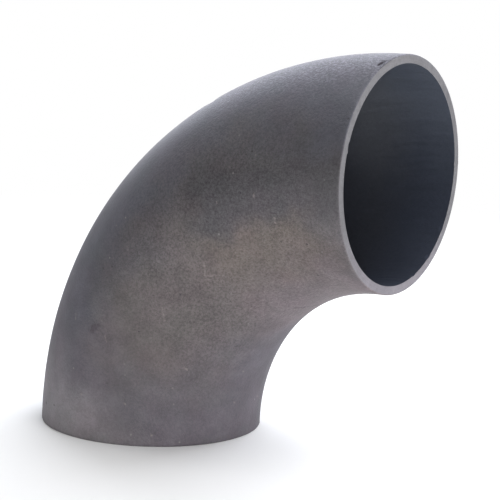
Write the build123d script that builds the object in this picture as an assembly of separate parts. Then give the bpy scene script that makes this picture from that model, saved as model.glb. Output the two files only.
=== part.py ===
from build123d import *
import math
import os

# Butt weld elbow: one seamless carbon steel piece, a pipe wall bent through a quarter turn.
# It stands on its lower end face. The origin is the centre of that face, the pipe axis leaves it
# along +Z and turns towards +X, and the upper end face looks along +X.
# All lengths are in millimetres and the angle is in degrees.

# Driving sizes
outer_diameter = 76.1  # outside of the pipe that the elbow is welded to
wall_thickness = 2.9  # even all round and from end to end
centre_to_end = 95.0  # from where the two pipe axes cross to either end face
bend_angle = 90.0  # turn between the two pipe axes
edge_break = 0.35  # chamfer that dresses the outer edge of each square-cut end

# Worked out from them
outer_radius = outer_diameter / 2
bore_radius = outer_radius - wall_thickness
bend_radius = centre_to_end / math.tan(math.radians(bend_angle) / 2)


def pipe_section():
    """The ring of steel that the pipe shows where it is cut, lying in the lower end face."""
    with BuildSketch(Plane.XY) as section:
        Circle(outer_radius)
        Circle(bore_radius, mode=Mode.SUBTRACT)
    return section.sketch


def bent_pipe():
    """The ring turned about the bend's axis, face to face, with no straight length at either end."""
    bend_axis = Axis((bend_radius, 0, 0), (0, 1, 0))
    return revolve(pipe_section(), axis=bend_axis, revolution_arc=bend_angle)


def outer_end_edges(pipe):
    """The outer circle of each end face. The edges along the bend are arcs of other radii."""
    arcs = pipe.edges().filter_by(GeomType.CIRCLE)
    return arcs.filter_by(lambda arc: math.isclose(arc.radius, outer_radius))


def make_elbow():
    """The whole elbow: the bent pipe with the outer edges of both ends dressed."""
    pipe = bent_pipe()
    return chamfer(outer_end_edges(pipe), edge_break).solid()


os.makedirs("parts", exist_ok=True)
elbow = make_elbow()
export_step(elbow, "parts/elbow.step")
print(f"elbow: {elbow.volume:.0f} mm3, size {elbow.bounding_box().size}")
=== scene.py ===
# %% [markdown]
# A butt weld elbow is a short piece of seamless pipe that was pushed hot over a bent mandrel,
# blasted clean and cut square at both ends, so that it can be welded between two pipes.
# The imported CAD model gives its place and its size. It is loaded first and never changed:
# everything below is built around it, in metres, with the same origin.

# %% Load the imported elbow
import math
import bmesh
import bpy
from mathutils import Matrix, Vector, noise


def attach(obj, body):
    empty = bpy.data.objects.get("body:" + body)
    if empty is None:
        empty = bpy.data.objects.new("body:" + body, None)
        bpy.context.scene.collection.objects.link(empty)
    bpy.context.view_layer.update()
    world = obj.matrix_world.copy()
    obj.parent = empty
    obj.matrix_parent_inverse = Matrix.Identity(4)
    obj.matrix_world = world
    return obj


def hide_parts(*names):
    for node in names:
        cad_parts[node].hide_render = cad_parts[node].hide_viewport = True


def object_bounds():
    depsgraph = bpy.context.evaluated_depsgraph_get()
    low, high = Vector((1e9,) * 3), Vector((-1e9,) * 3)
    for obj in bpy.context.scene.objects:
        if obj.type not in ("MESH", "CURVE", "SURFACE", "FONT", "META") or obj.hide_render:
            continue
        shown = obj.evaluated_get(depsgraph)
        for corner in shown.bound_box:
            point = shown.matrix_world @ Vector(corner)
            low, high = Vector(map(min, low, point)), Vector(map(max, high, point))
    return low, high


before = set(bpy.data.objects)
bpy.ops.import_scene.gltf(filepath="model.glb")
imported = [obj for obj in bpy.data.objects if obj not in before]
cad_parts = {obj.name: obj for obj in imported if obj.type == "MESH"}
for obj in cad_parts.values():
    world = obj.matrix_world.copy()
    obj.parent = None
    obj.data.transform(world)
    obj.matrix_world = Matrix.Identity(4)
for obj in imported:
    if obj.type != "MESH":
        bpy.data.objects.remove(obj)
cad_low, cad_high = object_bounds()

print("CAD box", [round(x, 5) for x in (*cad_low, *cad_high)])

# %% [markdown]
# The camera stands where the photograph was taken from: in front of the elbow, a little to its
# open side, and about nine degrees above the table. A constraint could keep it on its target,
# but it is aimed with angles, because they are easy to read, and a small roll levels the picture
# as it was taken. The lens is long, so the two ends of the elbow show at nearly the same scale.

# %% Camera
camera_azimuth = math.radians(33.75)
camera_elevation = math.radians(9.34)
camera_roll = math.radians(2.16)
camera_target = Vector((0.04349, -0.00685, 0.06573))
camera_distance = 0.6084
sensor_millimetres = 36.0
lens_millimetres = 133.39


def aimed(azimuth, elevation, roll):
    """The way back to a camera with those angles from its target, and the camera's turn."""
    back = Vector((
        math.sin(azimuth) * math.cos(elevation),
        -math.cos(azimuth) * math.cos(elevation),
        math.sin(elevation),
    ))
    level = (-back).cross(Vector((0, 0, 1))).normalized()
    upright = level.cross(-back)
    across = level * math.cos(roll) + upright * math.sin(roll)
    upward = upright * math.cos(roll) - level * math.sin(roll)
    return back, Matrix((across, upward, back)).transposed()


towards_camera, camera_turn = aimed(camera_azimuth, camera_elevation, camera_roll)
camera_data = bpy.data.cameras.new("photographer")
camera_data.lens = lens_millimetres
camera_data.sensor_width = sensor_millimetres
camera_data.clip_start = 0.01
camera_data.clip_end = 60.0
camera = bpy.data.objects.new("photographer", camera_data)
camera.matrix_world = camera_turn.to_4x4()
camera.location = camera_target + towards_camera * camera_distance
bpy.context.scene.collection.objects.link(camera)
bpy.context.scene.camera = camera
print("camera at", [round(x, 3) for x in camera.location])

# %% [markdown]
# The pipe's sizes. The outside comes from the CAD box, so that the piece can't outgrow it, and
# the wall is the one that the CAD model was cut with. The bend's radius is also how far each
# end face lies from the corner where the two pipe axes cross.

# %% Sizes of the pipe
outer_radius = min(-cad_low.x, -cad_low.y, cad_high.y)
wall = 0.0029
bore_radius = outer_radius - wall
mid_radius = outer_radius - wall / 2
bend_radius = cad_high.x
edge_break = 0.00035
facets_around = 320
steps_along = 120
circles_in_wall = 3
print(
    f"outside {outer_radius * 2000:.2f} mm, wall {wall * 1000:.1f} mm,",
    f"bend {bend_radius * 1000:.1f} mm",
)

# %% [markdown]
# The elbow's body is a ring of steel swept through a quarter turn. It could be a curve with a
# round bevel, but then the wall and the square ends would need more work. Here two circles are
# bridged into a flat ring, which is the lower end face, and spin turns that ring about the
# bend's own axis. The ring stays as one end face and its last copy becomes the other.

# %% Sweep the ring through the bend


def end_ring():
    """The flat ring of the lower end face, with more circles between its edges for the wear."""
    ring = bmesh.new()
    for radius in (outer_radius, bore_radius):
        bmesh.ops.create_circle(ring, cap_ends=False, segments=facets_around, radius=radius)
    bmesh.ops.bridge_loops(ring, edges=ring.edges[:])
    across_wall = [edge for edge in ring.edges if not edge.is_boundary]
    bmesh.ops.subdivide_edges(ring, edges=across_wall, cuts=circles_in_wall, use_grid_fill=True)
    return ring


def bend_ring(ring):
    """Turns the ring about the bend's axis, from the lower end face to the upper one."""
    bmesh.ops.spin(
        ring,
        geom=ring.verts[:] + ring.edges[:] + ring.faces[:],
        cent=(bend_radius, 0, 0),
        axis=(0, 1, 0),
        angle=math.radians(90),
        steps=steps_along,
    )
    bmesh.ops.recalc_face_normals(ring, faces=ring.faces[:])
    return ring


body = bend_ring(end_ring())
print("swept", len(body.verts), "points,", len(body.faces), "faces")

# %% [markdown]
# A mark on the elbow could be placed by x, y and z, but two angles that a fitter would use keep
# it on the steel: how far along the bend, from the lower end to the upper one, and how far round
# the pipe, from the outside of the bend. These helpers turn a point into those angles and back.

# %% Angles along the bend and round the pipe


def pipe_frame(along):
    """The centre of the pipe at that angle along the bend, and the way to the bend's outside."""
    outward = Vector((-math.cos(along), 0, math.sin(along)))
    return Vector((bend_radius, 0, 0)) + outward * bend_radius, outward


def pipe_angles(point):
    """Angle along the bend, angle round the pipe, and distance from the pipe's centre line."""
    along = math.atan2(point.z, bend_radius - point.x)
    centre, outward = pipe_frame(along)
    arm = point - centre
    return along, math.atan2(arm.y, arm.dot(outward)), arm.length


def on_pipe(along_degrees, around_degrees, radius=outer_radius):
    """The point of the skin, or of another radius, at those two angles."""
    centre, outward = pipe_frame(math.radians(along_degrees))
    around = math.radians(around_degrees)
    return centre + (outward * math.cos(around) + Vector((0, 1, 0)) * math.sin(around)) * radius


print("outside of the bend, half way:", [round(x, 4) for x in on_pipe(45, 0)])

# %% [markdown]
# The nick beside the upper rim, the burrs and chips on its inner edge and the small step across
# the outside of the bend need a finer mesh than the smooth wall does. A finer mesh everywhere
# would be several times as heavy, so only the edges near each of them are divided. The new
# points are put back on the true circle, because a divided edge stays straight.

# %% Finer mesh where the wear is
step_along = 60.7
bend_step = on_pipe(step_along, -10)
rim_nick = [on_pipe(89.45, around) for around in (-23.3, -22.1, -20.9, -19.7, -18.5)]
rim_burr = on_pipe(90, -73.9, bore_radius)
far_burr = on_pipe(90, 88.5, bore_radius)
rim_chips = [on_pipe(90, around, bore_radius) for around in (-70.2, 124.7, 143.6, 161.2)]
# The first chip lies beside the burr, in the mesh that is divided for it.
worn_places = [(rim_nick[2], 0.0045), (rim_burr, 0.004), (far_burr, 0.003), (bend_step, 0.011)]
worn_places += [(chip, 0.0025) for chip in rim_chips[1:]]
on_circle = wall / 20


def refine(mesh, place, reach):
    """Divides the edges that lie within reach of a place."""
    near = [e for e in mesh.edges if all((v.co - place).length < reach for v in e.verts)]
    bmesh.ops.subdivide_edges(mesh, edges=near, cuts=2, use_grid_fill=True)
    return len(near)


def true_up(mesh):
    """Puts every point of the skin and of the bore back on its circle."""
    for vert in mesh.verts:
        along, around, radius = pipe_angles(vert.co)
        for true_radius in (outer_radius, bore_radius):
            if abs(radius - true_radius) < on_circle:
                vert.co = on_pipe(math.degrees(along), math.degrees(around), true_radius)


for place, reach in worn_places:
    print("divided", refine(body, place, reach), "edges")
true_up(body)

# %% [markdown]
# Both ends are sawn square and their outer edge is dressed with a file, so no sharp corner is
# left there. A Bevel modifier could round every sharp edge, but the file touched only the outer
# ones, so the bevel operator is given the outer circle of each end face.

# %% Dress the outer edges
in_plane = 1e-6


def at_lower_end(point):
    """True for a point in the plane of the lower end face."""
    return abs(point.z) < in_plane


def at_upper_end(point):
    """True for a point in the plane of the upper end face."""
    return abs(point.x - bend_radius) < in_plane


def lies_on_outer_edge(edge):
    """True for an edge of the outer circle of either end face."""
    ends = [vert.co for vert in edge.verts]
    on_skin = all(abs(pipe_angles(end)[2] - outer_radius) < on_circle for end in ends)
    return on_skin and (all(map(at_lower_end, ends)) or all(map(at_upper_end, ends)))


outer_edges = [edge for edge in body.edges if lies_on_outer_edge(edge)]
bmesh.ops.bevel(
    body, geom=outer_edges, offset=edge_break, offset_type="OFFSET", segments=2,
    profile=0.5, affect="EDGES", material=-1,
)
print("dressed", len(outer_edges), "edges, now", len(body.faces), "faces")

# %% [markdown]
# A hot-formed pipe is never quite true. Slow waves less than a tenth of a millimetre deep break
# up its shine, and the marks of handling sit on top of them. Bump in the material could fake
# them, but it leaves the outline perfect, so the mesh itself is moved. Every point goes straight
# towards or away from the pipe's centre line, so the end faces stay flat, and nothing moves
# outwards past the true circle.

# %% Waves, the nick and the burrs
wave_depth = 0.00009
wave_length = 0.022
bore_waves = 1.3
step_depth, step_reach = 0.00045, 0.0105
step_edge_degrees, step_fade_degrees = 0.5, 3.0
nick_depth, nick_reach = 0.0005, 0.00075
chip_depth, chip_reach = 0.00022, 0.0014
burr_height, burr_reach = 0.00026, 0.0009


def bump(point, place, reach):
    """1 at the place, falling smoothly to 0 at its reach."""
    share = min((point - place).length / reach, 1.0)
    return (1 - share * share) ** 2


def strongest(point, places, reach):
    """The largest bump that any of the places gives this point."""
    return max(bump(point, place, reach) for place in places)


def outline_step(point, along):
    """The small step across the outside of the bend: 1 just below it, 0 above it."""
    below = step_along - math.degrees(along)
    rise = min(max(below / step_edge_degrees + 0.5, 0.0), 1.0)
    fade = math.exp(-((max(below, 0) / step_fade_degrees) ** 2))
    return rise * fade * bump(point, bend_step, step_reach)


def skin_drop(point, along):
    """How far the skin lies inside its true circle at this point."""
    wave = 0.5 + 0.5 * noise.noise(point / wave_length)
    drop = wave_depth * wave + step_depth * outline_step(point, along)
    return drop + nick_depth * strongest(point, rim_nick, nick_reach)


def bore_shift(point):
    """How far the bore's wall moves, with burrs standing into the passage."""
    shift = wave_depth * noise.noise(point / wave_length * bore_waves)
    shift -= burr_height * strongest(point, (rim_burr, far_burr), burr_reach)
    return shift + chip_depth * strongest(point, rim_chips, chip_reach)


for vert in body.verts:
    along, around, radius = pipe_angles(vert.co)
    at_lower, at_upper = at_lower_end(vert.co), at_upper_end(vert.co)
    skin_share = (radius - bore_radius) / wall
    new_radius = radius - skin_drop(vert.co, along) * skin_share
    new_radius += bore_shift(vert.co) * (1 - skin_share)
    vert.co = on_pipe(math.degrees(along), math.degrees(around), new_radius)
    if at_lower:
        vert.co.z = 0.0
    if at_upper:
        vert.co.x = bend_radius
print("waves up to", wave_depth * 1000, "mm deep, nick", nick_depth * 1000, "mm deep")

# %% [markdown]
# The three surfaces of the elbow get three finishes: the blasted skin outside, the sawn end
# faces, and the scaled bore inside. They could be three objects, but the steel is one piece, so
# each face is sorted by where it lies. A map in metres, with one axis along the bend and one
# round the pipe, lets a finish follow the pipe.

# %% Sort the faces by finish
skin_finish, sawn_finish, bore_finish = 0, 1, 2


def finish_of(face):
    """Which of the three finishes a face takes."""
    centre = face.calc_center_median()
    if at_lower_end(centre) or at_upper_end(centre):
        return sawn_finish
    return skin_finish if pipe_angles(centre)[2] > mid_radius else bore_finish


pipe_map = body.loops.layers.uv.new("pipe_map")
counts = [0, 0, 0]
for face in body.faces:
    face.material_index = finish_of(face)
    face.smooth = True
    counts[face.material_index] += 1
    middle = pipe_angles(face.calc_center_median())[1]
    for loop in face.loops:
        along, around, _ = pipe_angles(loop.vert.co)
        around += math.tau * round((middle - around) / math.tau)
        loop[pipe_map].uv = (around * outer_radius, along * bend_radius)
print("faces of skin, sawn ends and bore:", counts)

# %% [markdown]
# The mesh becomes an object here. Smooth shading would round the crisp corners of the sawn ends,
# so edges that turn by more than about thirty degrees are marked sharp first. An Edge Split
# modifier could do it too, but it would tear the mesh open there.

# %% Make the elbow's object
sharp_turn = math.radians(28)


def place_in_scene(name, shape):
    """Makes a bmesh into an object of that name in the scene, and frees the bmesh."""
    mesh = bpy.data.meshes.new(name)
    shape.to_mesh(mesh)
    shape.free()
    placed = bpy.data.objects.new(name, mesh)
    bpy.context.scene.collection.objects.link(placed)
    return placed


for edge in body.edges:
    if len(edge.link_faces) == 2 and edge.calc_face_angle(0) > sharp_turn:
        edge.smooth = False
pipe_elbow = place_in_scene("pipe_elbow", body)
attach(pipe_elbow, "root")
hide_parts("elbow")
triangles = sum(len(face.vertices) - 2 for face in pipe_elbow.data.polygons)
print("pipe_elbow has", triangles, "triangles")

# %% [markdown]
# Every finish is made of nodes. They could be joined by hand in the editor, and each helper here
# does what one such step does: it adds a node, sets its values and joins it to others. With them
# each recipe below reads from top to bottom.

# %% Node helpers


def feed(tree, socket, value):
    """Joins a socket to another one, or sets it to a plain value."""
    if isinstance(value, bpy.types.NodeSocket):
        tree.links.new(value, socket)
    else:
        socket.default_value = value


def add_node(tree, kind, label, inputs=None, **settings):
    """Adds a node to a tree, with values or links for its inputs and settings for itself."""
    node = tree.nodes.new(kind)
    node.label = label
    for key, value in settings.items():
        setattr(node, key, value)
    for key, value in (inputs or {}).items():
        feed(tree, node.inputs[key], value)
    return node


def maths(tree, label, operation, first, second=0.0):
    """The result of one Math node."""
    inputs = {0: first, 1: second}
    return add_node(tree, "ShaderNodeMath", label, inputs, operation=operation).outputs[0]


def vector_maths(tree, label, operation, first, second):
    """One Vector Math node."""
    inputs = {0: first, 1: second}
    return add_node(tree, "ShaderNodeVectorMath", label, inputs, operation=operation)


def ramp(tree, label, value, low, high, to_low=0.0, to_high=1.0):
    """A value stretched smoothly from one range to another."""
    inputs = {"Value": value, "From Min": low, "From Max": high}
    inputs.update({"To Min": to_low, "To Max": to_high})
    node = add_node(tree, "ShaderNodeMapRange", label, inputs, interpolation_type="SMOOTHSTEP")
    return node.outputs["Result"]


def tinted(tree, label, share, under, over, blend="MIX"):
    """One colour laid over another by a share."""
    node = add_node(tree, "ShaderNodeMix", label, data_type="RGBA", blend_type=blend)
    for number, value in ((0, share), (6, under), (7, over)):
        feed(tree, node.inputs[number], value)
    return node.outputs[2]


print("node helpers ready")

# %% [markdown]
# These helpers draw by place. They work in the object's own coordinates, so a stain or a mark
# stays on the steel whatever the camera does. A place that a noise has pushed about roughens
# whatever is drawn there, which is cheaper than a mask with a ragged edge of its own.

# %% Helpers that draw by place


def nearness(tree, label, place, centre, inner, outer):
    """1 within the inner distance of a centre, falling smoothly to 0 at the outer one."""
    reach = vector_maths(tree, label, "DISTANCE", place, centre).outputs["Value"]
    return ramp(tree, label, reach, outer, inner)


def noise_at(tree, label, place, scale, detail=2.0, roughness=0.5):
    """A Noise Texture node."""
    inputs = {"Vector": place, "Scale": scale, "Detail": detail, "Roughness": roughness}
    return add_node(tree, "ShaderNodeTexNoise", label, inputs)


def drifted(tree, label, place, scale, reach):
    """The same place pushed about by a noise."""
    cloud = noise_at(tree, label, place, scale).outputs["Color"]
    centred = vector_maths(tree, label, "SUBTRACT", cloud, (0.5, 0.5, 0.5)).outputs[0]
    pushed = vector_maths(tree, label, "MULTIPLY", centred, (reach, reach, reach)).outputs[0]
    return vector_maths(tree, label, "ADD", place, pushed).outputs[0]


def toned(tree, label, colour, tone, amount):
    """A colour made lighter and darker by a tone that swings about a half."""
    swing = maths(tree, label, "SUBTRACT", tone, 0.5)
    swing = maths(tree, label, "MULTIPLY", swing, amount)
    return tinted(tree, label, 1.0, colour, maths(tree, label, "ADD", swing, 1.0), "MULTIPLY")


print("helpers that draw by place ready")

# %% [markdown]
# What more than one finish uses is a node group, built once and placed with other values in each
# material. The nodes could be copied into each material instead, but then a change to one of
# them would miss the others.

# %% Helpers for node groups


def new_group(name, inputs, outputs):
    """An empty shader node group with named sockets, and its input and output nodes."""
    group = bpy.data.node_groups.new(name, "ShaderNodeTree")
    for socket_name, kind, value in inputs:
        socket = group.interface.new_socket(socket_name, in_out="INPUT", socket_type=kind)
        if value is not None:
            socket.default_value = value
    for socket_name in outputs:
        group.interface.new_socket(socket_name, in_out="OUTPUT", socket_type="NodeSocketFloat")
    given = group.nodes.new("NodeGroupInput").outputs
    return group, given, group.nodes.new("NodeGroupOutput").inputs


def group_outputs(tree, group, label, inputs):
    """The outputs of a node group that is placed in a tree with its own values."""
    return add_node(tree, "ShaderNodeGroup", label, inputs, node_tree=group).outputs


print("group helpers ready")

# %% [markdown]
# Shot blasting leaves the steel covered in tiny dimples, less than a millimetre apart, each with
# its own tone. A picture of real steel could be wrapped round the pipe, but it would stretch on
# the bend. This group makes the grain for every finish. It mixes two sizes of grain, because one
# alone looks like a printed pattern, and gives out a height and a tone.

# %% Blasted grain


def make_grain():
    """The node group of the blasted grain."""
    group, given, result = new_group(
        "blasted_grain",
        [("Vector", "NodeSocketVector", None), ("Coarse Scale", "NodeSocketFloat", 1150.0),
         ("Fine Scale", "NodeSocketFloat", 3000.0)],
        ["Height", "Tone"],
    )
    place = given["Vector"]
    coarse = noise_at(group, "coarse grain", place, given["Coarse Scale"]).outputs["Fac"]
    fine = noise_at(group, "fine grain", place, given["Fine Scale"], 1.0).outputs["Fac"]
    dimples = add_node(group, "ShaderNodeTexVoronoi", "dimples",
                       {"Vector": place, "Scale": given["Coarse Scale"]},
                       feature="SMOOTH_F1").outputs["Distance"]
    both = maths(group, "both grains", "ADD", coarse, fine)
    group.links.new(maths(group, "with dimples", "ADD", both, dimples), result["Height"])
    group.links.new(ramp(group, "tone range", both, 0.6, 1.4), result["Tone"])
    return group


grain_group = make_grain()
print("group", grain_group.name)

# %% [markdown]
# Larger stains of scale and light rust drift over the steel. A second group gives a soft mask of
# patches. A plain noise would fade in and out everywhere, so its middle range is stretched until
# the patches have borders, as soft as each finish wants them.

# %% Soft patches


def make_patches():
    """The node group of soft patches."""
    group, given, result = new_group(
        "soft_patches",
        [("Vector", "NodeSocketVector", None), ("Scale", "NodeSocketFloat", 60.0),
         ("Cover", "NodeSocketFloat", 0.5), ("Softness", "NodeSocketFloat", 0.15)],
        ["Mask"],
    )
    cloud = noise_at(group, "patches", given["Vector"], given["Scale"], 4.0, 0.6).outputs["Fac"]
    low = maths(group, "edge low", "SUBTRACT", given["Cover"], given["Softness"])
    high = maths(group, "edge high", "ADD", given["Cover"], given["Softness"])
    group.links.new(ramp(group, "patch edge", cloud, low, high), result["Mask"])
    return group


patch_group = make_patches()


def patches(tree, label, place, scale, softness, cover=0.5):
    """The mask of soft patches in a finish."""
    inputs = {"Vector": place, "Scale": scale, "Cover": cover, "Softness": softness}
    return group_outputs(tree, patch_group, label, inputs)["Mask"]


print("group", patch_group.name)

# %% [markdown]
# Handling and loose shot leave single specks all over a fitting, on its back as well. They are
# too many to draw one by one, so this group scatters them: a Voronoi texture sets the middles,
# and each middle draws its own strength, so that most are faint and only a few stand out.

# %% Sparse specks


def make_specks():
    """The node group of sparse specks."""
    group, given, result = new_group(
        "sparse_specks",
        [("Vector", "NodeSocketVector", None), ("Scale", "NodeSocketFloat", 200.0),
         ("Size", "NodeSocketFloat", 0.1)],
        ["Mask"],
    )
    cells = add_node(group, "ShaderNodeTexVoronoi", "speck middles",
                     {"Vector": given["Vector"], "Scale": given["Scale"]}).outputs
    core = maths(group, "core", "MULTIPLY", given["Size"], 0.4)
    spot = ramp(group, "speck", cells["Distance"], given["Size"], core)
    draw = add_node(group, "ShaderNodeSeparateColor", "draw", {"Color": cells["Color"]})
    strength = maths(group, "mostly faint", "POWER", draw.outputs[0], 2.0)
    group.links.new(maths(group, "speck strength", "MULTIPLY", spot, strength), result["Mask"])
    return group


speck_group = make_specks()


def specks(tree, label, place, scale, size):
    """The mask of sparse specks in a finish, their size as a share of the gap between them."""
    inputs = {"Vector": place, "Scale": scale, "Size": size}
    return group_outputs(tree, speck_group, label, inputs)["Mask"]


print("group", speck_group.name)

# %% [markdown]
# The scratches and flecks that the photograph shows are drawn one by one. Each is a short line
# on the skin between two places, and its mask is 1 along that line and 0 further off than its
# width. They could be cut into the mesh, but most are colour alone. The group passes on the
# marks drawn before it, so that a row of them adds up. Wide streaks of colour use it as well.

# %% One drawn mark


def make_line_mark():
    """The node group of one drawn mark."""
    group, given, result = new_group(
        "line_mark",
        [("Vector", "NodeSocketVector", None), ("Start", "NodeSocketVector", None),
         ("End", "NodeSocketVector", None), ("Width", "NodeSocketFloat", 0.0004),
         ("Before", "NodeSocketFloat", 0.0)],
        ["Mask"],
    )
    way = vector_maths(group, "way", "SUBTRACT", given["End"], given["Start"]).outputs[0]
    arm = vector_maths(group, "arm", "SUBTRACT", given["Vector"], given["Start"]).outputs[0]
    gone = vector_maths(group, "gone", "DOT_PRODUCT", arm, way).outputs["Value"]
    whole = vector_maths(group, "whole", "DOT_PRODUCT", way, way).outputs["Value"]
    share = add_node(group, "ShaderNodeMath", "share", {0: gone, 1: whole},
                     operation="DIVIDE", use_clamp=True).outputs[0]
    step = add_node(group, "ShaderNodeVectorMath", "step", {0: way, "Scale": share},
                    operation="SCALE").outputs[0]
    off = vector_maths(group, "off the line", "DISTANCE", arm, step).outputs["Value"]
    core = maths(group, "core", "MULTIPLY", given["Width"], 0.3)
    drawn = ramp(group, "drawn", off, given["Width"], core)
    drawn = maths(group, "with the marks before", "MAXIMUM", drawn, given["Before"])
    group.links.new(drawn, result["Mask"])
    return group


mark_group = make_line_mark()


def streak(tree, label, place, start, end, width, before=0.0):
    """The mask of one line between two places, given by their angles along and round."""
    inputs = {"Vector": place, "Start": on_pipe(*start), "End": on_pipe(*end)}
    inputs.update({"Width": width, "Before": before})
    return group_outputs(tree, mark_group, label, inputs)["Mask"]


def draw_marks(tree, label, place, marks):
    """One mask of many marks. Each has both ends' angles in degrees, and its width in mm."""
    mask = 0.0
    for along_1, around_1, along_2, around_2, width in marks:
        start, end = (along_1, around_1), (along_2, around_2)
        mask = streak(tree, label, place, start, end, width / 1000, mask)
    return mask


print("group", mark_group.name)

# %% [markdown]
# These are the marks in the photograph: the scratch in the shape of an L and the pale flecks,
# then the dark pits and the dark streak under the bend. The nick beside the rim is in the mesh,
# but so small that it hardly shades itself, so the shade in it is drawn too.

# %% Marks of the photograph
pale_marks = [
    (52.8, -110.6, 50.7, -115.3, 0.46), (50.7, -115.4, 54.4, -120.8, 0.42),
    (50.1, -117.1, 51.2, -118.6, 0.40), (71.4, -90.6, 71.2, -92.2, 0.44),
    (74.5, -104.1, 74.5, -104.8, 0.47), (74.3, -106.1, 74.3, -106.8, 0.47),
    (63.0, -117.9, 64.4, -119.0, 0.28), (62.9, -119.2, 62.8, -119.9, 0.44),
    (61.3, -113.8, 61.4, -114.3, 0.41), (36.5, -110.9, 34.0, -115.3, 0.39),
    (22.4, -67.8, 21.4, -69.1, 0.36), (22.7, -91.9, 21.9, -93.7, 0.50),
    (24.0, -135.0, 23.7, -136.8, 0.55), (10.3, -111.3, 10.1, -111.9, 0.50),
    (3.4, -126.7, 3.1, -127.2, 0.47), (9.1, -86.6, 9.0, -87.3, 0.44),
    (62.7, -88.4, 62.8, -89.2, 0.41), (12.9, 167.7, 12.3, 165.7, 0.50),
    (25.7, -168.5, 25.3, -169.6, 0.44), (13.5, -170.3, 13.2, -171.1, 0.41),
    (81.0, -128.9, 80.8, -130.2, 0.41), (65.2, -141.6, 64.8, -143.2, 0.39),
]
dark_marks = [
    (80.1, -119.0, 80.0, -119.4, 0.41), (77.7, -139.3, 77.7, -140.0, 0.41),
    (33.2, -71.6, 33.1, -72.1, 0.44), (68.4, -88.3, 68.5, -88.7, 0.36),
    (74.1, -101.5, 75.0, -101.8, 0.30), (3.7, -54.3, 3.6, -55.0, 0.61),
    (4.4, -65.3, 4.4, -66.1, 0.47), (58.3, -163.1, 61.4, -176.7, 0.41),
]
nick_shade = [(89.2, -22.8, 89.3, -19.4, 0.60)]
print(len(pale_marks), "pale and", len(dark_marks), "dark marks")

# %% [markdown]
# All three finishes are the same steel, and share how it shines. It could be a full metal, but
# a blasted or scaled surface scatters most light before it can mirror anything, so it is only
# partly metal. For the same reason it hardly brightens at a glancing angle, and the tint of the
# shader's reflection there is kept dark. What differs is colour, roughness and relief.

# %% The steel's shader
metal_share = 0.6
edge_tint = (0.35, 0.35, 0.35, 1)
relief_depth = 0.0002


def start_finish(name):
    """A material with its Principled shader and the object's own coordinates."""
    material = bpy.data.materials.new(name)
    material.use_nodes = True
    tree = material.node_tree
    shader = tree.nodes["Principled BSDF"]
    place = add_node(tree, "ShaderNodeTexCoord", "place").outputs["Object"]
    return material, tree, shader, place


def dress_steel(tree, shader, colour, roughness, height, strength):
    """Gives the steel's shader its colour, its roughness and a relief of that strength."""
    inputs = {"Height": height, "Strength": strength, "Distance": relief_depth}
    relief = add_node(tree, "ShaderNodeBump", "relief", inputs)
    tree.links.new(colour, shader.inputs["Base Color"])
    tree.links.new(roughness, shader.inputs["Roughness"])
    tree.links.new(relief.outputs[0], shader.inputs["Normal"])
    shader.inputs["Metallic"].default_value = metal_share
    shader.inputs["Specular Tint"].default_value = edge_tint


print("steel", metal_share, "metal")

# %% [markdown]
# The blasted skin is a mid grey steel with a blue cast where scale is left. It is browner on the
# near side of the upper half, where it has begun to rust, and painted lighter there as painted
# light. It is more violet towards the lower end. Inside the bend it is pinker and painted paler,
# as painted light from the bright floor below, and its foot is painted paler as painted light. A
# darker band along the near flank of the upper half is painted shade. Each patch is laid over the
# ones before it, by its distance from a place: a table of places is quicker to match to a
# photograph than one noise.

# %% Skin colours
blue_scale = (0.149, 0.149, 0.173, 1)
violet_scale = (0.161, 0.148, 0.166, 1)
painted_dark_band = (0.128, 0.121, 0.129, 1)
brown_smear = (0.126, 0.113, 0.126, 1)
green_hue, red_hue = (0.983, 1.008, 0.995, 1), (1.017, 0.992, 1.005, 1)
# Name, angles along and round, full within this distance, gone at this one, and colour.
broad_stains = [
    # The rust bloom is a brown stain that is also painted lighter, as painted light.
    ("rust bloom and painted light", 66, -120, 0.012, 0.052, (0.199, 0.171, 0.158, 1)),
    ("rust below it", 36, -112, 0.012, 0.040, (0.168, 0.150, 0.150, 1)),
    # The underside of the bend and its throat are painted paler, as painted light from the bright
    # floor below.
    ("pink belly and painted floor light", 68, -172, 0.010, 0.042, (0.222, 0.190, 0.200, 1)),
    ("throat with painted floor light", 85, -164, 0.006, 0.028, (0.240, 0.206, 0.214, 1)),
    # The pale patch at the foot is painted light.
    ("painted light at the foot", -2, -79, 0.008, 0.037, (0.276, 0.256, 0.268, 1)),
]


def skin_patches(tree, place):
    """The broad colours of the skin, without any grain."""
    loose = drifted(tree, "uneven borders", place, 55.0, 0.026)
    high = add_node(tree, "ShaderNodeSeparateXYZ", "height", {0: loose}).outputs[2]
    violet = ramp(tree, "towards the lower end", high, 0.062, 0.018)
    colour = tinted(tree, "scale or violet", violet, blue_scale, violet_scale)
    for name, along, around, inner, outer, stain in broad_stains:
        mask = nearness(tree, name, loose, on_pipe(along, around), inner, outer)
        colour = tinted(tree, name, mask, colour, stain)
    # The darker band along the near flank of the upper half is painted shade, laid where the dark
    # card's reflection falls.
    band = streak(tree, "painted dark band", loose, (62, -84), (90, -88), 0.017)
    colour = tinted(tree, "painted dark band", band, colour, painted_dark_band)
    ragged = drifted(tree, "ragged smear", place, 800.0, 0.0040)
    smear = streak(tree, "smear", ragged, (22.1, -82.8), (23.7, -85.6), 0.0019)
    colour = tinted(tree, "smear", smear, colour, brown_smear)
    hue = patches(tree, "two hues", place, 85.0, 0.2)
    hues = tinted(tree, "two hues", hue, green_hue, red_hue)
    colour = tinted(tree, "with two hues", 1.0, colour, hues, "MULTIPLY")
    slow = patches(tree, "slow tone", place, 130.0, 0.25)
    amount = ramp(tree, "more low down", high, 0.095, 0.055, 0.11, 0.24)
    return toned(tree, "slow tone", colour, slow, amount)


print("skin colours ready,", len(broad_stains), "broad stains")

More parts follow.
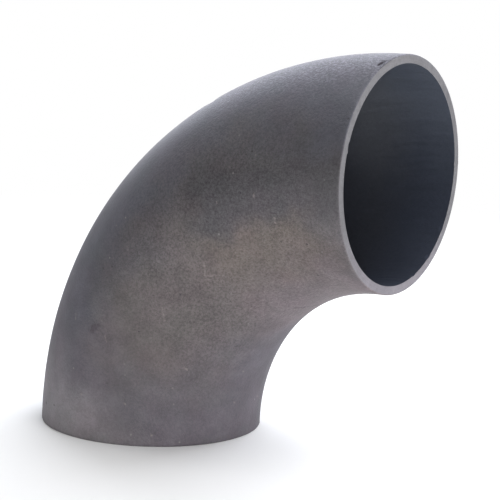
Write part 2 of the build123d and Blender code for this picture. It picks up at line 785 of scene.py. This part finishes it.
# %% [markdown]
# Over those colours lies the wear. Along the top, below the upper rim, the scale is crusty: pale
# clumps under a millimetre wide, close together, in a strip with an uneven border. The clumps
# could be modelled, but there are thousands, so they are a mask that also feeds the relief.
# Specks and drawn marks come last. A noise breaks up the pale marks, as a scratch skips.

# %% Crust and marks on the skin
pale_speck, dark_speck = (0.30, 0.28, 0.28, 1), (0.07, 0.065, 0.07, 1)
bare_scratch, dark_pit = (0.33, 0.29, 0.28, 1), (0.05, 0.04, 0.05, 1)
deep_shade = (0.035, 0.030, 0.038, 1)
dark_mark_share = 0.65


def crust_clumps(tree, place):
    """The mask of the pale clumps in the crusty strip along the top."""
    loose = drifted(tree, "uneven crust", place, 120.0, 0.012)
    crust = streak(tree, "crusty top", loose, (62, -4), (84, -8), 0.027)
    clumps = patches(tree, "clumps", place, 1150.0, 0.09, 0.54)
    return maths(tree, "clumps in the crust", "MULTIPLY", clumps, crust)


def marked(tree, place, colour):
    """A skin colour with the specks, the drawn marks and the shade in the nick laid over it."""
    mask = specks(tree, "pale specks", place, 230.0, 0.11)
    colour = tinted(tree, "pale specks", mask, colour, pale_speck)
    mask = specks(tree, "dark specks", place, 190.0, 0.09)
    colour = tinted(tree, "dark specks", mask, colour, dark_speck)
    unsteady = drifted(tree, "unsteady line", place, 1300.0, 0.0011)
    breaks = noise_at(tree, "breaks", place, 1100.0).outputs["Fac"]
    whole = ramp(tree, "whole or broken", breaks, 0.35, 0.6, 0.15, 0.60)
    pale = draw_marks(tree, "pale mark", unsteady, pale_marks)
    pale = maths(tree, "pale share", "MULTIPLY", pale, whole)
    colour = tinted(tree, "pale marks", pale, colour, bare_scratch)
    dark = draw_marks(tree, "dark mark", unsteady, dark_marks)
    dark = maths(tree, "dark share", "MULTIPLY", dark, dark_mark_share)
    colour = tinted(tree, "dark marks", dark, colour, dark_pit)
    shade = draw_marks(tree, "shade in the nick", place, nick_shade)
    return tinted(tree, "shade in the nick", shade, colour, deep_shade)


print("crust and marks ready")

# %% [markdown]
# The skin's finish puts these together. The grain stands out most on the near flank, where rust
# has roughened it, so the grain's share in the colour grows towards there instead of being even
# all round. The clumps of the crust stand higher than the grain does, and shine with it.

# %% Skin finish
# The crust's pale clumps are real wear, and their blue-violet tint is partly painted reflection of
# the cool light from above.
crust_grey_and_sheen = (0.284, 0.275, 0.324, 1)
crust_share, crust_rise = 0.9, 1.5


def make_skin():
    """The finish of the blasted outside."""
    material, tree, shader, place = start_finish("blasted_skin")
    grain = group_outputs(tree, grain_group, "grain", {"Vector": place})
    rough = nearness(tree, "roughest flank", place, on_pipe(60, -118), 0.012, 0.070)
    amount = ramp(tree, "grain amount", rough, 0, 1, 0.28, 0.64)
    colour = toned(tree, "grained", skin_patches(tree, place), grain["Tone"], amount)
    clumps = crust_clumps(tree, place)
    share = maths(tree, "clump share", "MULTIPLY", clumps, crust_share)
    colour = marked(tree, place, tinted(tree, "crusted", share, colour, crust_grey_and_sheen))
    polish = ramp(tree, "uneven polish", grain["Tone"], 0, 1, 0.46, 0.56)
    rise = maths(tree, "crust rise", "MULTIPLY", clumps, crust_rise)
    height = maths(tree, "grain and crust", "ADD", grain["Height"], rise)
    dress_steel(tree, shader, colour, polish, height, 0.35)
    return material


pipe_elbow.data.materials.append(make_skin())
print("skin finish ready")

# %% [markdown]
# The sawn end faces are bare steel, paler than the skin, and painted palest on the lowest part of
# the upper rim, as painted light. The cutting wheel has left very fine rings on them. A Wave
# texture could draw these rings, but too evenly, so a noise reads how far a point lies from the
# middle of its own end face. Soft patches keep the cut from looking the same all the way round.

# %% Sawn finish
bare_steel, pale_steel_painted_light = (0.212, 0.208, 0.220, 1), (0.268, 0.252, 0.278, 1)
lower_mouth, upper_mouth = (0, 0, 0), (bend_radius, 0, bend_radius)


def cutting_rings(tree, place):
    """A noise in rings about the middle of each end face."""
    upper = vector_maths(tree, "from the upper mouth", "DISTANCE", place, upper_mouth)
    lower = vector_maths(tree, "from the lower mouth", "DISTANCE", place, lower_mouth)
    own = maths(tree, "own mouth", "MINIMUM", upper.outputs["Value"], lower.outputs["Value"])
    rings = add_node(tree, "ShaderNodeTexNoise", "rings", {"W": own, "Scale": 4000.0},
                     noise_dimensions="1D")
    return rings.outputs["Fac"]


def make_sawn():
    """The finish of the two end faces."""
    material, tree, shader, place = start_finish("sawn_steel")
    grain = group_outputs(tree, grain_group, "grain", {"Vector": place, "Coarse Scale": 900.0})
    rings = cutting_rings(tree, place)
    high = add_node(tree, "ShaderNodeSeparateXYZ", "height", {0: place}).outputs[2]
    # Paler towards the lowest part of the upper rim is painted light.
    painted_light_low_down = ramp(tree, "lowest part of the rim", high, 0.085, 0.060)
    colour = tinted(tree, "sawn steel", painted_light_low_down, bare_steel, pale_steel_painted_light)
    uneven = patches(tree, "uneven cut", place, 45.0, 0.2)
    colour = toned(tree, "uneven cut", colour, uneven, 0.22)
    colour = toned(tree, "grained", colour, grain["Tone"], 0.28)
    colour = toned(tree, "with rings", colour, rings, 0.25)
    polish = ramp(tree, "uneven polish", grain["Tone"], 0, 1, 0.44, 0.56)
    height = maths(tree, "grain and rings", "ADD", grain["Height"], rings)
    dress_steel(tree, shader, colour, polish, height, 0.2)
    return material


pipe_elbow.data.materials.append(make_sawn())
print("sawn finish ready")

# %% [markdown]
# Inside, the mandrel has left a smooth, dark, blue-grey scale. It is painted bluer and paler high
# up, as painted light, and nearly black at the bottom, as painted shade, and it is greyer deep in
# the pipe. The mandrel has also drawn faint streaks along the bend. A noise in plain coordinates
# couldn't follow the bend, so it reads the map made above, stretched along the pipe.

# %% Bore finish
bore_painted_shade, bore_scale_and_painted_light = (0.068, 0.078, 0.108, 1), (0.170, 0.192, 0.240, 1)
unchanged, greyer = (1, 1, 1, 1), (1.22, 1.14, 1.02, 1)


def make_bore():
    """The finish of the scaled inside."""
    material, tree, shader, place = start_finish("bore_scale_and_painted_light")
    grain = group_outputs(tree, grain_group, "grain", {"Vector": place, "Coarse Scale": 800.0})
    pipe_place = add_node(tree, "ShaderNodeUVMap", "pipe map", uv_map="pipe_map").outputs["UV"]
    stretched = vector_maths(tree, "stretched", "MULTIPLY", pipe_place, (700.0, 40.0, 1.0))
    streaks = noise_at(tree, "streaks", stretched.outputs[0], 1.0, 3.0).outputs["Fac"]
    loose = drifted(tree, "uneven borders", place, 60.0, 0.015)
    parts = add_node(tree, "ShaderNodeSeparateXYZ", "depth and height", {0: loose}).outputs
    # Bluer and paler high up is painted light, and the dark bottom is painted shade.
    lit_high_up = ramp(tree, "high up", parts[2], 0.080, 0.127)
    colour = tinted(tree, "painted shade or lit scale", lit_high_up, bore_painted_shade, bore_scale_and_painted_light)
    deep = ramp(tree, "deep in the pipe", parts[0], 0.086, 0.064)
    faded = tinted(tree, "faded deep in", deep, unchanged, greyer)
    colour = tinted(tree, "with the fading", 1.0, colour, faded, "MULTIPLY")
    colour = toned(tree, "streaked", colour, streaks, 0.16)
    colour = toned(tree, "grained", colour, grain["Tone"], 0.12)
    polish = ramp(tree, "uneven polish", streaks, 0.3, 0.7, 0.46, 0.56)
    dress_steel(tree, shader, colour, polish, grain["Height"], 0.12)
    return material


pipe_elbow.data.materials.append(make_bore())
print("bore finish ready")

# %% [markdown]
# The stage is a wide pale floor. Close to the elbow it shows the soft shadow that the lamps
# throw. Further out it fades to pure white for the camera and for reflections, which gives the
# plain white background without more light on the elbow. A pale floor under brighter lamps would
# go white too, but it would bleach the steel as well.

# %% Floor
floor_radius = 12.0
stage_centre = Vector((0.04, 0, 0))
shadow_ends, white_begins = 0.12, 0.60
shown_floor = bmesh.new()
bmesh.ops.create_circle(shown_floor, cap_ends=True, segments=96, radius=floor_radius)
studio_floor = place_in_scene("studio_floor", shown_floor)


def make_floor_finish():
    """Pale floor near the elbow, white further out wherever the camera or a mirror looks."""
    material, tree, shader, place = start_finish("pale_floor")
    shader.inputs["Base Color"].default_value = (0.85, 0.85, 0.85, 1)
    shader.inputs["Roughness"].default_value = 0.9
    path = add_node(tree, "ShaderNodeLightPath", "what looks").outputs
    looks = maths(tree, "camera or mirror", "MAXIMUM", path["Is Camera Ray"], path["Is Glossy Ray"])
    looks = maths(tree, "or glass", "MAXIMUM", looks, path["Is Transmission Ray"])
    reach = vector_maths(tree, "from the elbow", "DISTANCE", place, stage_centre)
    far = ramp(tree, "far floor", reach.outputs["Value"], shadow_ends, white_begins)
    white = add_node(tree, "ShaderNodeEmission", "white", {"Color": (1, 1, 1, 1), "Strength": 1.0})
    share = maths(tree, "white share", "MULTIPLY", far, looks)
    blend = {0: share, 1: shader.outputs[0], 2: white.outputs[0]}
    mixed = add_node(tree, "ShaderNodeMixShader", "floor", blend)
    tree.links.new(mixed.outputs[0], tree.nodes["Material Output"].inputs["Surface"])
    return material


studio_floor.data.materials.append(make_floor_finish())
print("floor", floor_radius * 2, "m wide")

# %% [markdown]
# The photograph has one dark band along the near flank of the bend. It is the reflection of the
# dark side of the room behind the camera. The band could be painted on the steel, but then it
# would be there in any light. A curved dark card stands behind and to the left of the camera
# instead, and the camera looks through it. An edge is spun round the elbow to make it.

# %% Dark card
# The skin's colour is also painted darker along this band, as painted shade.
card_radius = 0.95
card_height = 1.8
card_from, card_to = math.radians(-75), math.radians(30)
card = bmesh.new()
card_way = Vector((math.sin(card_from), -math.cos(card_from), 0))
card_start = card_way * card_radius + stage_centre
foot = card.verts.new(card_start)
head = card.verts.new(card_start + Vector((0, 0, card_height)))
card.edges.new((foot, head))
bmesh.ops.spin(
    card, geom=card.verts[:] + card.edges[:], cent=stage_centre, axis=(0, 0, 1),
    angle=card_to - card_from, steps=48,
)
dark_card = place_in_scene("dark_card", card)
dark_card.visible_camera = False
card_finish, _, card_shader, _ = start_finish("dark_card")
card_shader.inputs["Base Color"].default_value = (0.03, 0.03, 0.03, 1)
card_shader.inputs["Roughness"].default_value = 1.0
dark_card.data.materials.append(card_finish)
print("dark card", card_height, "m high")

# %% [markdown]
# Soft studio light. The world is white at a strength of 1, so it lights a colour about as that
# colour is written and is the white background too. Alone it would leave the pipe flat, so five
# soft lamps shape it: the two behind give the pale, slightly blue light along its top, a faint
# one overhead joins them, the one high on the right lights the upper rim, and the low one on the
# right lifts the underside of the bend.

# %% Lamps and world
lamp_target = Vector((0.04, 0, 0.06))


def soft_lamp(name, place, width, height, power, tint):
    """A rectangular area lamp that points at the elbow and isn't seen by the camera."""
    data = bpy.data.lights.new(name, "AREA")
    data.shape = "RECTANGLE"
    data.size = width
    data.size_y = height
    data.energy = power
    data.color = tint
    lamp = bpy.data.objects.new(name, data)
    lamp.location = place
    lamp.rotation_mode = "QUATERNION"
    lamp.rotation_quaternion = (lamp_target - Vector(place)).to_track_quat("-Z", "Y")
    lamp.visible_camera = False
    bpy.context.scene.collection.objects.link(lamp)


cool, plain = (0.93, 0.97, 1.05), (1.0, 1.0, 1.0)
soft_lamp("overhead", (0.04, 0.1, 1.3), 1.1, 1.1, 1.4, cool)
soft_lamp("behind", (0.0, 1.25, 0.62), 1.0, 0.8, 15.3, cool)
soft_lamp("behind_left", (-0.9, 0.9, 0.6), 0.9, 0.8, 10.9, cool)
soft_lamp("high_right", (0.75, 0.0, 1.0), 0.9, 0.9, 4.8, plain)
soft_lamp("low_right", (0.95, -0.85, 0.24), 0.8, 0.36, 3.6, plain)

world = bpy.data.worlds.new("studio")
bpy.context.scene.world = world
world.use_nodes = True
background = world.node_tree.nodes["Background"].inputs
background["Color"].default_value = (1, 1, 1, 1)
background["Strength"].default_value = 1.0
bpy.context.scene.view_settings.view_transform = "Standard"
print("lamps and world ready")
